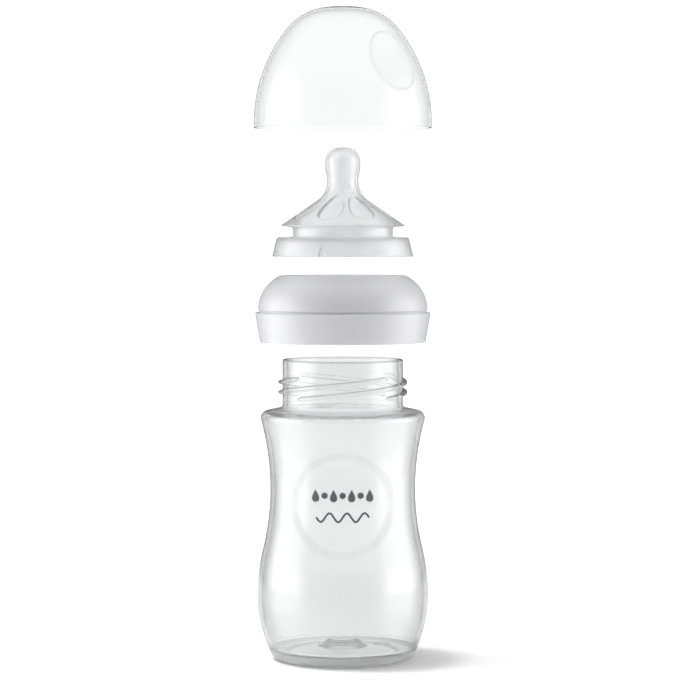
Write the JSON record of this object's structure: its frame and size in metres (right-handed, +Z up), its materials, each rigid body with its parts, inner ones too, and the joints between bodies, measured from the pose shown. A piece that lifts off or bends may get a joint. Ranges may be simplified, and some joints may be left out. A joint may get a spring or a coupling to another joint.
{
  "type": "baby bottle",
  "caption": "Wide-neck feeding bottle with a waisted clear body, screw ring, soft teat and clear dome cap, drawn apart along its axis.",
  "frame": {"origin": "centre of the bottle's standing ring, on the surface it stands on", "axes": "+Z up along the common axis of all pieces, -Y the front with the printed recess, +X to the right seen from the front"},
  "size_m": [0.0714, 0.0714, 0.2621],
  "materials": {
    "clear_body": "clear polypropylene, glossy with a faint haze",
    "white_ring": "white polypropylene, satin gloss",
    "silicone": "clear silicone, soft and milky",
    "clear_cap": "clear polypropylene, high gloss",
    "print_ink": "dark grey printed ink"
  },
  "bodies": {
    "bottle": {"bottle": "clear_body"},
    "ring_carrier": {"ring_clamp_face": "white_ring"},
    "screw_ring": {"screw_ring": "white_ring"},
    "teat": {"teat": "silicone"},
    "dome_cap": {"dome_cap": "clear_cap"}
  },
  "joints": [
    {"name": "ring_lift", "type": "slide", "parent": "bottle", "child": "ring_carrier", "axis": [0, 0, 1], "range_m": [-0.0281, 0]},
    {"name": "ring_turn", "type": "hinge", "parent": "ring_carrier", "child": "screw_ring", "pos_m": [0, 0, 0.14], "axis": [0, 0, 1], "range_deg": [-630, 0]},
    {"name": "teat_lift", "type": "slide", "parent": "ring_carrier", "child": "teat", "axis": [0, 0, 1], "range_m": [-0.01945, 0], "deforming": ["teat"]},
    {"name": "cap_lift", "type": "slide", "parent": "teat", "child": "dome_cap", "axis": [0, 0, 1], "range_m": [-0.0544, 0]}
  ],
  "couplings": [
    {"joint": "ring_lift", "follows": "ring_turn", "m_per_rad": 0.0025465}
  ]
}
